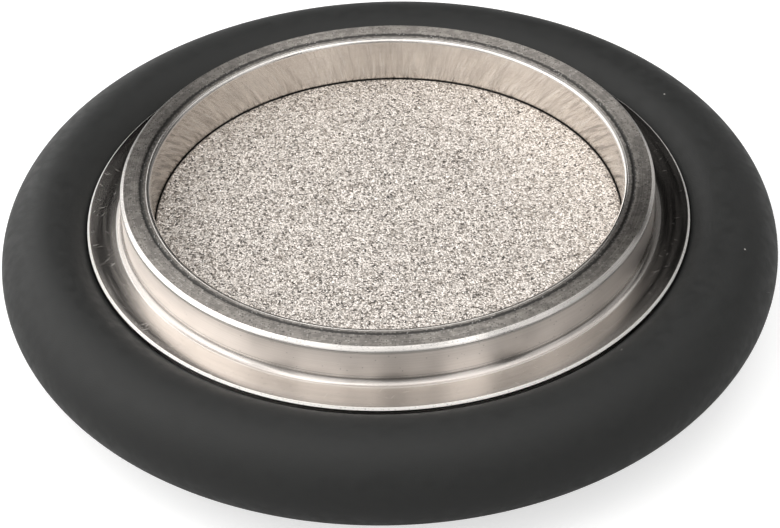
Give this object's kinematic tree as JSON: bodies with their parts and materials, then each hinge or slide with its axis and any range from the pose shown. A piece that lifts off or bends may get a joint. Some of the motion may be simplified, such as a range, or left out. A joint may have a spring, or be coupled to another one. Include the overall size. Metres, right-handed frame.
{
  "type": "kf centering ring with filter disc",
  "caption": "Double-lipped vacuum centering ring with a rubber O-ring round its spacer and a porous sintered disc across its bore.",
  "frame": {"origin": "centre of the ring on its axis, half way between the two rims", "axes": "+Z along the ring's axis, out of the upper lip; X and Y are any two directions across it"},
  "size_m": [0.0382, 0.0382, 0.008],
  "materials": {
    "turned_steel": "fine turned stainless steel, matte rims and a bright spacer face",
    "seal_rubber": "matte charcoal moulded elastomer",
    "sintered_steel": "porous sintered stainless grains, pale and sparkling"
  },
  "bodies": {
    "root": {"centering_ring": "turned_steel", "o_ring": "seal_rubber", "filter_disc": "sintered_steel"}
  },
  "joints": []
}
